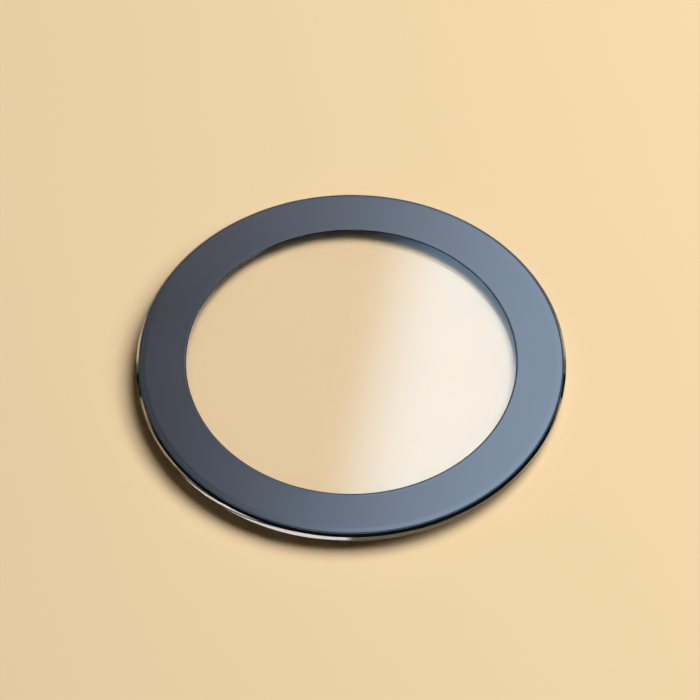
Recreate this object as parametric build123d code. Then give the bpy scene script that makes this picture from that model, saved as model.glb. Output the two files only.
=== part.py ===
from build123d import *
import os

# A watch crystal: a flat disc of clear glass with a wide opaque border printed on its inner face.
# It lies as photographed, outer face down. Z = 0 is the outer face and +Z points to the printed face.
# The origin is the centre of the outer face. All sizes are in millimetres.

# Driving sizes of the glass disc
rim_diameter = 38.0             # the polished band round the rim, which the case's gasket grips
glass_thickness = 2.08          # outer face to inner face
rim_band_height = 0.54          # height of the band, which is a plain cylinder
inner_chamfer_width = 0.21      # polished 45 degree chamfer between the inner face and the band
outer_bevel_width = 1.20        # polished bevel between the outer face and the band, measured across

# Driving sizes of the printed border, which is two coats of ink
print_edge_margin = 0.12        # bare glass between the chamfer and the print
border_width = 4.07             # black coat from its outer edge to the clear window
base_coat_thickness = 0.020     # black coat on the glass
top_coat_thickness = 0.025      # blue-black satin coat on the black one
window_reveal = 0.09            # black left showing between the window and the satin coat
rim_reveal = 0.02               # black left showing outside the satin coat
edge_bead_width = 0.22          # raised bead that the screen leaves beside the window
edge_bead_height = 0.003        # how far the bead stands above the coat
outer_feather_width = 0.45      # where the top coat thins towards the rim
outer_feather_thickness = 0.008 # what is left of the top coat at its outer edge

# Circles that the glass and both coats share
rim_radius = rim_diameter / 2
inner_face_radius = rim_radius - inner_chamfer_width
print_radius = inner_face_radius - print_edge_margin
window_radius = print_radius - border_width


def turned(name, outline):
    """Revolves a closed outline of (radius, height) points about Z and labels the solid."""
    section = make_face(Plane.XZ * Polyline(*outline, close=True))
    solid = revolve(section, axis=Axis.Z)
    solid.label = name
    return solid


def crystal_glass():
    """The glass disc: two flat faces, with a bevel, a band and a chamfer round the rim."""
    outer_face_radius = rim_radius - outer_bevel_width
    band_top_z = glass_thickness - inner_chamfer_width
    band_bottom_z = band_top_z - rim_band_height
    return turned("crystal_glass", [
        (0, 0),
        (outer_face_radius, 0),
        (rim_radius, band_bottom_z),
        (rim_radius, band_top_z),
        (inner_face_radius, glass_thickness),
        (0, glass_thickness),
    ])


def mask_base_coat():
    """The opaque black coat, printed straight on the inner face."""
    top_z = glass_thickness + base_coat_thickness
    return turned("mask_base_coat", [
        (window_radius, glass_thickness),
        (print_radius, glass_thickness),
        (print_radius, top_z),
        (window_radius, top_z),
    ])


def mask_top_coat():
    """The satin coat on the black one: a raised bead at the window, thinned out at the rim."""
    inner_radius = window_radius + window_reveal
    outer_radius = print_radius - rim_reveal
    bead_crest_radius = inner_radius + edge_bead_width / 2
    bead_foot_radius = inner_radius + edge_bead_width
    feather_radius = outer_radius - outer_feather_width
    bottom_z = glass_thickness + base_coat_thickness
    top_z = bottom_z + top_coat_thickness
    return turned("mask_top_coat", [
        (inner_radius, bottom_z),
        (outer_radius, bottom_z),
        (outer_radius, bottom_z + outer_feather_thickness),
        (feather_radius, top_z),
        (bead_foot_radius, top_z),
        (bead_crest_radius, top_z + edge_bead_height),
        (inner_radius, top_z),
    ])


os.makedirs("parts", exist_ok=True)
for piece in (crystal_glass(), mask_base_coat(), mask_top_coat()):
    export_step(piece, f"parts/{piece.label}.step")
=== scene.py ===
import math

import bpy
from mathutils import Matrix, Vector


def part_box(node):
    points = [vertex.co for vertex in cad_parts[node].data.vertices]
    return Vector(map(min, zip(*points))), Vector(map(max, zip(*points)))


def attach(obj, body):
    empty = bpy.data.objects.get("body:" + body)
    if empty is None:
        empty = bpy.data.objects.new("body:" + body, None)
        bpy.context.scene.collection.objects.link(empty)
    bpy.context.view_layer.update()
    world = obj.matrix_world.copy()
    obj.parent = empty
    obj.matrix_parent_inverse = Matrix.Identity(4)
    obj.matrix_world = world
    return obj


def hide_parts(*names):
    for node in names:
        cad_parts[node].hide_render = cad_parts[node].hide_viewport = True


# A watch crystal: a flat, clear disc with a wide printed border, lying print side up on a pale table.
# It goes together as it is made: the disc is turned and polished, then two coats of ink are printed.
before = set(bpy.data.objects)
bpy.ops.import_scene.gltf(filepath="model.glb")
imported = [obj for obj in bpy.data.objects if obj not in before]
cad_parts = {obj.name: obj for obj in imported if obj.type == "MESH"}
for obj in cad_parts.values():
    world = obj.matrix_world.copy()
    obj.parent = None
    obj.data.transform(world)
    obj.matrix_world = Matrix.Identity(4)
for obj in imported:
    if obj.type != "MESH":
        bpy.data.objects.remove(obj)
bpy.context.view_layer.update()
scene = bpy.context.scene

# The camera.
# It looks along +Y and down at the printed face, at the photograph's height and distance.
# Its place and lens were fitted to the circles of the window and of the printed border.
_, glass_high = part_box("crystal_glass")
FACE_Z = glass_high.z
AIM = Vector((-0.000106, 0.001001, FACE_Z))
CAMERA_ELEVATION = math.radians(52.68)
CAMERA_DISTANCE = 0.35135
FOCAL_PIXELS = 3968.7
PHOTO_PIXELS = 700
SENSOR_WIDTH = 36.0
QUARTER_TURN = math.pi / 2

camera_data = bpy.data.cameras.new("camera")
camera_data.sensor_width = SENSOR_WIDTH
camera_data.lens = FOCAL_PIXELS * SENSOR_WIDTH / PHOTO_PIXELS
camera = bpy.data.objects.new("camera", camera_data)
scene.collection.objects.link(camera)
back_and_up = Vector((0, -math.cos(CAMERA_ELEVATION), math.sin(CAMERA_ELEVATION)))
camera.location = AIM + CAMERA_DISTANCE * back_and_up
camera.rotation_euler = (QUARTER_TURN - CAMERA_ELEVATION, 0, 0)
scene.camera = camera


# The glass disc.
# It is one piece of clear sapphire, turned round its axis: two polished faces, a plain band round
# the rim, a narrow chamfer on the printed side and a wide bevel round the outer face.
RIM_RADIUS = glass_high.x
CHAMFER_WIDTH = 0.00021
MARGIN_WIDTH = 0.00012
BAND_HEIGHT = 0.00054
OUTER_BEVEL_WIDTH = 0.00120
TURNING_STEPS = 720
WELD_DISTANCE = 1e-6
CREASE_ANGLE = math.radians(1)
SAPPHIRE_INDEX = 1.77
CLEAR_TINT = (1.0, 1.0, 1.0, 1.0)
# Painted shade: the bare margin is tinted near black and the rim smoky, so that little light shows
# through them.
MARGIN_SHADE_TINT = (0.004, 0.004, 0.004, 1.0)
RIM_SHADE_TINT = (0.30, 0.28, 0.27, 1.0)
MARGIN_ROUGHNESS = 0.4
# How far one finish runs into the next.
MEETING_WIDTH = 1e-6
FULL = 1.0

inner_face_radius = RIM_RADIUS - CHAMFER_WIDTH
margin_radius = inner_face_radius - MARGIN_WIDTH
band_top = FACE_Z - CHAMFER_WIDTH
band_bottom = band_top - BAND_HEIGHT


def turning_tree():
    """Turns a section, drawn as (radius, 0, height) points, about Z and welds it at the axis."""
    tree = bpy.data.node_groups.new("turning", "GeometryNodeTree")
    tree.interface.new_socket("Section", in_out="INPUT", socket_type="NodeSocketGeometry")
    sockets = {
        "Steps": "NodeSocketInt",
        "Path radius": "NodeSocketFloat",
        "Weld distance": "NodeSocketFloat",
        "Crease angle": "NodeSocketFloat",
        "Finish": "NodeSocketMaterial",
    }
    for label, kind in sockets.items():
        tree.interface.new_socket(label, in_out="INPUT", socket_type=kind)
    tree.interface.new_socket("Turned", in_out="OUTPUT", socket_type="NodeSocketGeometry")

    def feed(socket, source):
        if isinstance(source, bpy.types.NodeSocket):
            tree.links.new(source, socket)
        else:
            socket.default_value = source

    def add(kind, settings=None, **links):
        node = tree.nodes.new(kind)
        for setting, value in (settings or {}).items():
            setattr(node, setting, value)
        for label, source in links.items():
            feed(node.inputs[label.replace("_", " ")], source)
        return node

    def maths(operation, first, second):
        """Adds a Math node, whose sockets all have the same name."""
        node = add("ShaderNodeMath", {"operation": operation})
        for socket, source in zip(node.inputs, (first, second)):
            feed(socket, source)
        return node.outputs["Value"]

    # The section rides on a circle of the rim's radius, so it is first drawn in by as much.
    given = add("NodeGroupInput").outputs
    path = add("GeometryNodeCurvePrimitiveCircle", {"mode": "RADIUS"},
               Resolution=given["Steps"], Radius=given["Path radius"])
    inward = maths("SUBTRACT", 0, given["Path radius"])
    shift = add("ShaderNodeCombineXYZ", X=inward)
    drawn = add("GeometryNodeMeshToCurve", Mesh=given["Section"])
    drawn_in = add("GeometryNodeTransform", Geometry=drawn.outputs["Curve"],
                   Translation=shift.outputs["Vector"])
    profile = add("GeometryNodeTransform", Geometry=drawn_in.outputs["Geometry"],
                  Rotation=(QUARTER_TURN, 0, 0))
    swept = add("GeometryNodeCurveToMesh", Curve=path.outputs["Curve"],
                Profile_Curve=profile.outputs["Geometry"])
    welded = add("GeometryNodeMergeByDistance", Geometry=swept.outputs["Mesh"],
                 Distance=given["Weld distance"])
    smooth = add("GeometryNodeSetShadeSmooth", {"domain": "FACE"},
                 Geometry=welded.outputs["Geometry"], Shade_Smooth=True)
    angle = add("GeometryNodeInputMeshEdgeAngle")
    sharp = maths("GREATER_THAN", angle.outputs["Unsigned Angle"], given["Crease angle"])
    creased = add("GeometryNodeSetShadeSmooth", {"domain": "EDGE"},
                  Geometry=smooth.outputs["Geometry"], Selection=sharp, Shade_Smooth=False)
    outward = add("GeometryNodeFlipFaces", Mesh=creased.outputs["Geometry"])
    real = add("GeometryNodeRealizeInstances", Geometry=outward.outputs["Mesh"])
    finished = add("GeometryNodeSetMaterial", Geometry=real.outputs["Geometry"],
                   Material=given["Finish"])
    result = tree.nodes.new("NodeGroupOutput")
    tree.links.new(finished.outputs["Geometry"], result.inputs["Turned"])
    return tree


TURNING = turning_tree()


def turned(name, section, closed, finish):
    """Makes a plain mesh by turning a section of (radius, height) points, listed anticlockwise."""
    count = len(section)
    edges = [(k, (k + 1) % count) for k in range(count if closed else count - 1)]
    drawing = bpy.data.meshes.new(name + "_section")
    drawing.from_pydata([(radius, 0, height) for radius, height in section], edges, [])
    piece = bpy.data.objects.new(name, drawing)
    scene.collection.objects.link(piece)
    lathe = piece.modifiers.new("turning", "NODES")
    lathe.node_group = TURNING
    sizes = {
        "Steps": TURNING_STEPS,
        "Path radius": RIM_RADIUS,
        "Weld distance": WELD_DISTANCE,
        "Crease angle": CREASE_ANGLE,
        "Finish": finish,
    }
    for item in TURNING.interface.items_tree:
        if item.in_out == "INPUT" and item.name in sizes:
            lathe[item.identifier] = sizes[item.name]
    bpy.context.view_layer.update()
    evaluated = piece.evaluated_get(bpy.context.evaluated_depsgraph_get())
    mesh = bpy.data.meshes.new_from_object(evaluated)
    piece.modifiers.remove(lathe)
    piece.data = mesh
    mesh.name = name
    bpy.data.meshes.remove(drawing)
    return piece


class Wire:
    """A shader socket that carries a number or a colour. Arithmetic on it adds the Math nodes."""

    def __init__(self, nodes, socket):
        self.nodes = nodes
        self.socket = socket

    def maths(self, operation, *terms):
        return self.nodes.node("ShaderNodeMath", {"operation": operation}, dict(enumerate(terms)))

    def __add__(self, other):
        return self.maths("ADD", self, other)

    def __rsub__(self, other):
        return self.maths("SUBTRACT", other, self)

    def __mul__(self, other):
        return self.maths("MULTIPLY", self, other)

    def __lt__(self, other):
        return self.maths("LESS_THAN", self, other)

    __radd__ = __add__
    __rmul__ = __mul__


class Nodes:
    """The shader nodes of a material or of the world, in the making."""

    # A Mix node has sockets for numbers and vectors before those for colours.
    MIX_FACTOR = 0
    MIX_FIRST = 6
    MIX_SECOND = 7
    MIX_RESULT = 2
    FLATTEN = (1, 1, 0)

    def __init__(self, owner):
        owner.use_nodes = True
        self.owner = owner
        self.tree = owner.node_tree
        self.tree.nodes.clear()

    def node(self, kind, settings=None, sockets=None, output=0):
        """Adds a node of any kind: first its settings, then the values or wires of its sockets."""
        node = self.tree.nodes.new(kind)
        for setting, value in (settings or {}).items():
            setattr(node, setting, value)
        for key, value in (sockets or {}).items():
            if isinstance(value, Wire):
                self.tree.links.new(value.socket, node.inputs[key])
            else:
                node.inputs[key].default_value = value
        return Wire(self, node.outputs[output])

    def vector(self, operation, *terms, output=0):
        """Adds a Vector Math node."""
        return self.node("ShaderNodeVectorMath", {"operation": operation},
                         dict(enumerate(terms)), output)

    def place(self):
        """The point of the surface, in the object's own metres."""
        return self.node("ShaderNodeTexCoord", output="Object")

    def axis(self, name):
        return self.node("ShaderNodeSeparateXYZ", sockets={0: self.place()}, output=name)

    def radius(self):
        """How far the point lies from the disc's axis."""
        flat = self.vector("MULTIPLY", self.place(), self.FLATTEN)
        return self.vector("LENGTH", flat, output="Value")

    def ramp(self, value, start, end):
        """Rises smoothly from 0 at start to 1 at end."""
        return self.node("ShaderNodeMapRange", {"interpolation_type": "SMOOTHSTEP"},
                         {"Value": value, "From Min": start, "From Max": end})

    def noise(self, size, detail):
        """Cloudy noise whose patches measure about size."""
        return self.node("ShaderNodeTexNoise", sockets={
            "Vector": self.place(), "Scale": 1 / size, "Detail": detail})

    def bump(self, height, strength, distance):
        return self.node("ShaderNodeBump", sockets={
            "Strength": strength, "Distance": distance, "Height": height})

    def blend(self, factor, first, second):
        """Mixes two colours."""
        return self.node("ShaderNodeMix", {"data_type": "RGBA"}, {
            self.MIX_FACTOR: factor, self.MIX_FIRST: first, self.MIX_SECOND: second},
            self.MIX_RESULT)

    def ray(self, name):
        return self.node("ShaderNodeLightPath", output=name)

    def principled(self, **sockets):
        """One Principled shader."""
        named = {key.replace("_", " "): value for key, value in sockets.items()}
        return self.node("ShaderNodeBsdfPrincipled", sockets=named)

    def close(self, shader, kind="ShaderNodeOutputMaterial"):
        """Wires the last shader to the output, and gives back what the nodes belong to."""
        output = self.tree.nodes.new(kind)
        self.tree.links.new(shader.socket, output.inputs["Surface"])
        return self.owner


def sapphire_finish():
    """Clear polished sapphire. The rim is tinted smoky as painted shade: it dims the light that runs
    out through the rim and the table's shadow seen through it. The bare margin between the print and
    the chamfer is rough, and tinted near black as painted shade, so it lets hardly any light by."""
    nodes = Nodes(bpy.data.materials.new("polished_sapphire"))
    at_margin = nodes.ramp(nodes.radius(), margin_radius - MEETING_WIDTH,
                           margin_radius + MEETING_WIDTH)
    at_rim = nodes.ramp(nodes.radius(), inner_face_radius - MEETING_WIDTH,
                        inner_face_radius + MEETING_WIDTH)
    below_face = FACE_Z - MEETING_WIDTH
    on_face = nodes.ramp(nodes.axis("Z"), below_face - MEETING_WIDTH, below_face)
    on_margin = at_margin * on_face * (1 - at_rim)
    faces = nodes.blend(on_margin, CLEAR_TINT, MARGIN_SHADE_TINT)
    return nodes.close(nodes.principled(
        Base_Color=nodes.blend(at_rim, faces, RIM_SHADE_TINT),
        Roughness=MARGIN_ROUGHNESS * on_margin,
        IOR=SAPPHIRE_INDEX,
        Transmission_Weight=FULL,
    ))


crystal_glass = turned("crystal_glass_disc", [
    (0, 0),
    (RIM_RADIUS - OUTER_BEVEL_WIDTH, 0),
    (RIM_RADIUS, band_bottom),
    (RIM_RADIUS, band_top),
    (inner_face_radius, FACE_Z),
    (0, FACE_Z),
], closed=False, finish=sapphire_finish())
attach(crystal_glass, "root")
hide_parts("crystal_glass")


# The black base coat.
# It is opaque black ink, printed straight on the glass and fired, so it wets the glass without a gap.
# It shows as a thin glossy line round the window, and black from below.
_, base_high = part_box("mask_base_coat")
BORDER_WIDTH = 0.00407
BOND_DEPTH = 0.000002
BLACK_TONES = ((0.004, 0.004, 0.005, 1), (0.008, 0.008, 0.010, 1))
BLACK_MOTTLE_SIZE = 0.002
BLACK_MOTTLE_DETAIL = 2
PEEL_SIZE = 0.0004
PEEL_DETAIL = 3
PEEL_STRENGTH = 0.15
PEEL_DEPTH = 0.00001
BLACK_ROUGHNESS = 0.12
# The ink's index over the glass's, so that its underside mirrors fully inside the glass.
BLACK_INDEX_IN_GLASS = 0.847

print_radius = base_high.x
window_radius = print_radius - BORDER_WIDTH


def black_ink_finish():
    """Glossy black ink with a faint orange peel."""
    nodes = Nodes(bpy.data.materials.new("glossy_black_ink"))
    peel = nodes.bump(nodes.noise(PEEL_SIZE, PEEL_DETAIL), PEEL_STRENGTH, PEEL_DEPTH)
    mottle = nodes.noise(BLACK_MOTTLE_SIZE, BLACK_MOTTLE_DETAIL)
    return nodes.close(nodes.principled(
        Base_Color=nodes.blend(mottle, *BLACK_TONES),
        Roughness=BLACK_ROUGHNESS,
        IOR=BLACK_INDEX_IN_GLASS,
        Normal=peel,
    ))


mask_base_coat = turned("mask_base_print", [
    (window_radius, FACE_Z - BOND_DEPTH),
    (print_radius, FACE_Z - BOND_DEPTH),
    (print_radius, base_high.z),
    (window_radius, base_high.z),
], closed=True, finish=black_ink_finish())
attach(mask_base_coat, "root")
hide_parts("mask_base_coat")


# The satin top coat.
# It is a blue-black ink, screened over the black one and a little smaller than it on both sides.
# The screen leaves a low bead beside the window, and the coat thins out towards the rim.
_, top_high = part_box("mask_top_coat")
WINDOW_REVEAL = 0.00009
BEAD_WIDTH = 0.00022
BEAD_HEIGHT = 0.000003
FEATHER_WIDTH = 0.00045
FEATHER_THICKNESS = 0.000008
SATIN_TONES = ((0.005, 0.007, 0.011, 1), (0.009, 0.011, 0.016, 1))
# Painted shade: the coat's outer edge, where it really thins out, is coloured darker for its dimmer
# sheen.
THIN_EDGE_SHADE_TONE = (0.004, 0.005, 0.007, 1)
CLOUD_SIZE = 0.006
CLOUD_DETAIL = 3
GRAIN_SIZE = 0.00012
GRAIN_DETAIL = 2
GRAIN_STRENGTH = 0.12
GRAIN_DEPTH = 0.000006
SATIN_ROUGHNESS = 0.19
CLOUD_ROUGHNESS = 0.02
THIN_ROUGHNESS = 0.03
SATIN_INDEX = 2.12
SATIN_SHEEN_TINT = (1.0, 0.70, 0.60, 1)

coat_inner = window_radius + WINDOW_REVEAL
coat_outer = top_high.x
coat_flat_z = top_high.z - BEAD_HEIGHT
bead_crest = coat_inner + BEAD_WIDTH / 2
bead_foot = coat_inner + BEAD_WIDTH
feather_start = coat_outer - FEATHER_WIDTH


def satin_ink_finish():
    """Satin blue-black ink: a fine screened grain, faint clouds and a thinner outer edge, whose
    darker colour is painted shade for its dimmer sheen.
    """
    nodes = Nodes(bpy.data.materials.new("satin_blue_black_ink"))
    clouds = nodes.noise(CLOUD_SIZE, CLOUD_DETAIL)
    grain = nodes.noise(GRAIN_SIZE, GRAIN_DETAIL)
    thin = nodes.ramp(nodes.radius(), feather_start, coat_outer)
    return nodes.close(nodes.principled(
        Base_Color=nodes.blend(thin, nodes.blend(clouds, *SATIN_TONES), THIN_EDGE_SHADE_TONE),
        Roughness=SATIN_ROUGHNESS + CLOUD_ROUGHNESS * clouds + THIN_ROUGHNESS * thin,
        IOR=SATIN_INDEX,
        Specular_IOR_Level=FULL,
        Specular_Tint=SATIN_SHEEN_TINT,
        Normal=nodes.bump(grain, GRAIN_STRENGTH, GRAIN_DEPTH),
    ))


mask_top_coat = turned("mask_satin_print", [
    (coat_inner, base_high.z),
    (coat_outer, base_high.z),
    (coat_outer, base_high.z + FEATHER_THICKNESS),
    (feather_start, coat_flat_z),
    (bead_foot, coat_flat_z),
    (bead_crest, top_high.z),
    (coat_inner, coat_flat_z),
], closed=True, finish=satin_ink_finish())
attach(mask_top_coat, "root")
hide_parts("mask_top_coat")


# The table.
# It is a plain pale top, in the warm tone that the clear window shows.
# It lies a hair below the disc, so that the glass keeps its own lower face.
FLOOR_GAP = 0.00002
FLOOR_SIZE = 4.0
FLOOR_TONES = ((0.765, 0.60, 0.375, 1), (0.79, 0.625, 0.395, 1))
FLOOR_MOTTLE_SIZE = 0.05
FLOOR_MOTTLE_DETAIL = 3
FLOOR_ROUGHNESS = 0.9
FLOOR_SHINE = 0.1


def floor_finish():
    """A matte pale tabletop."""
    nodes = Nodes(bpy.data.materials.new("pale_tabletop"))
    mottle = nodes.noise(FLOOR_MOTTLE_SIZE, FLOOR_MOTTLE_DETAIL)
    return nodes.close(nodes.principled(
        Base_Color=nodes.blend(mottle, *FLOOR_TONES),
        Roughness=FLOOR_ROUGHNESS,
        Specular_IOR_Level=FLOOR_SHINE,
    ))


bpy.ops.mesh.primitive_plane_add(size=FLOOR_SIZE, location=(0, 0, -FLOOR_GAP))
floor = bpy.context.object
floor.name = "floor"
floor.data.materials.append(floor_finish())


# The softbox.
# It is a wide overhead panel of cloth, behind and to the right, with a dim scrim on its left.
# The crystal mirrors the soft edge between the two. The open table doesn't see it.
PANEL_HEIGHT = 0.60
PANEL_START_Y = -0.15
PANEL_WIDTH = 0.58
PANEL_DEPTH = 0.82
PANEL_TURN = math.radians(-10)
PANEL_EDGE_X = -0.1107
EDGE_BLUR = 0.0278
SCRIM_WIDTH = 0.35
FAR_SCRIM_START = 0.67
FAR_SCRIM_END = 0.74
PANEL_COLOUR = (0.98, 1.80, 2.75, 1)
RIM_COLOUR = (2.55, 2.60, 2.65, 1)
SCRIM_COLOUR = (0.09, 0.11, 0.13, 1)
FAR_SCRIM_COLOUR = (0.60, 0.78, 1.05, 1)
LAMP_SPOT = (0.223, 0.409, 0)
LAMP_SPOT_RADIUS = 0.25
LAMP_SPOT_COLOUR = (9.1, 8.9, 8.6, 1)
SPILL_COLOUR = (0.50, 0.50, 0.52, 1)
# Depths are whole numbers, so the limits lie between two of them.
ONCE_SCATTERED = 0.5
OFTEN_MIRRORED = 2.5


def softbox_finish():
    """Cloth, which shows each kind of ray its own light. The faces mirror the panel and the scrim.
    Light that has run round in the rim is white. The table under the glass, which the lamps don't
    reach through it, gets a bright spot in the key lamp's stead and a little light around it."""
    nodes = Nodes(bpy.data.materials.new("softbox_cloth"))
    lit = nodes.ramp(nodes.axis("X"), 0, EDGE_BLUR)
    mirrored = nodes.ray("Diffuse Depth") < ONCE_SCATTERED
    far = nodes.ramp(nodes.axis("Y"), FAR_SCRIM_START, FAR_SCRIM_END)
    scrim = nodes.blend(far, SCRIM_COLOUR, FAR_SCRIM_COLOUR)
    in_faces = nodes.ray("Glossy Depth") < OFTEN_MIRRORED
    cloth = nodes.blend(in_faces, RIM_COLOUR, PANEL_COLOUR)
    off_centre = nodes.vector("DISTANCE", nodes.place(), LAMP_SPOT, output="Value")
    under_glass = nodes.blend(off_centre < LAMP_SPOT_RADIUS, SPILL_COLOUR, LAMP_SPOT_COLOUR)
    light = nodes.blend(mirrored, under_glass, nodes.blend(lit, scrim, cloth))
    return nodes.close(nodes.node("ShaderNodeEmission", sockets={"Color": light}))


softbox_corners = [
    (-SCRIM_WIDTH, 0, 0),
    (-SCRIM_WIDTH, PANEL_DEPTH, 0),
    (PANEL_WIDTH, PANEL_DEPTH, 0),
    (PANEL_WIDTH, 0, 0),
]
softbox_mesh = bpy.data.meshes.new("softbox")
softbox_mesh.from_pydata(softbox_corners, [], [tuple(range(len(softbox_corners)))])
softbox = bpy.data.objects.new("softbox", softbox_mesh)
scene.collection.objects.link(softbox)
softbox.location = (PANEL_EDGE_X, PANEL_START_Y, PANEL_HEIGHT)
softbox.rotation_euler = (0, 0, PANEL_TURN)
softbox.visible_camera = False
softbox.visible_diffuse = False
softbox.visible_shadow = False
softbox_mesh.materials.append(softbox_finish())


# The lamps.
# A key lamp behind and to the right lights the table and gives the disc its shadow, and a weak
# fill lamp on the right lightens that shadow in front. Mirrors and the glass don't show them.
LAMP_COLOUR = (1.0, 0.97, 0.93)
KEY_SIZE = 0.40
KEY_AZIMUTH = math.radians(25)
KEY_ELEVATION = math.radians(62)
KEY_DISTANCE = 0.52
KEY_POWER = 3.20
FILL_SIZE = 0.20
FILL_AZIMUTH = math.radians(-8)
FILL_ELEVATION = math.radians(42)
FILL_DISTANCE = 0.60
FILL_POWER = 0.90


def lamp(name, size, azimuth, elevation, distance, power):
    """A round lamp that faces the disc, at an azimuth from +X and an elevation."""
    data = bpy.data.lights.new(name, "AREA")
    data.shape = "DISK"
    data.size = size
    data.energy = power
    data.color = LAMP_COLOUR
    stand = bpy.data.objects.new(name, data)
    scene.collection.objects.link(stand)
    reach = distance * math.cos(elevation)
    height = distance * math.sin(elevation)
    stand.location = (reach * math.cos(azimuth), reach * math.sin(azimuth), height)
    stand.rotation_euler = stand.location.to_track_quat("Z", "Y").to_euler()
    stand.visible_camera = False
    stand.visible_glossy = False
    stand.visible_transmission = False


lamp("key_lamp", KEY_SIZE, KEY_AZIMUTH, KEY_ELEVATION, KEY_DISTANCE, KEY_POWER)
lamp("fill_lamp", FILL_SIZE, FILL_AZIMUTH, FILL_ELEVATION, FILL_DISTANCE, FILL_POWER)


# The room.
# It is dark, so that the rim's black lines and the contact shadow stay dark. Mirrors show it cool,
# and its light on the table is warm and faint. Only the camera sees a pale backdrop.
ROOM_LIGHT = (0.020, 0.011, 0.005, 1)
ROOM_MIRRORED = (0.035, 0.050, 0.070, 1)
BACKDROP = (0.80, 0.77, 0.72, 1)

room = bpy.data.worlds.new("room")
scene.world = room
room_nodes = Nodes(room)
unseen_light = room_nodes.blend(room_nodes.ray("Is Diffuse Ray"), ROOM_MIRRORED, ROOM_LIGHT)
unseen = room_nodes.node("ShaderNodeBackground", sockets={"Color": unseen_light})
seen = room_nodes.node("ShaderNodeBackground", sockets={"Color": BACKDROP})
by_camera = (room_nodes.ray("Is Camera Ray"), unseen, seen)
room_nodes.close(room_nodes.node("ShaderNodeMixShader", sockets=dict(enumerate(by_camera))),
                 kind="ShaderNodeOutputWorld")

# Light runs round inside the disc several times before it leaves at the rim.
INNER_BOUNCES = 14
scene.view_settings.view_transform = "Standard"
scene.cycles.max_bounces = INNER_BOUNCES
scene.cycles.glossy_bounces = INNER_BOUNCES
scene.cycles.transmission_bounces = INNER_BOUNCES
scene.cycles.blur_glossy = 0
scene.cycles.sample_clamp_indirect = 0
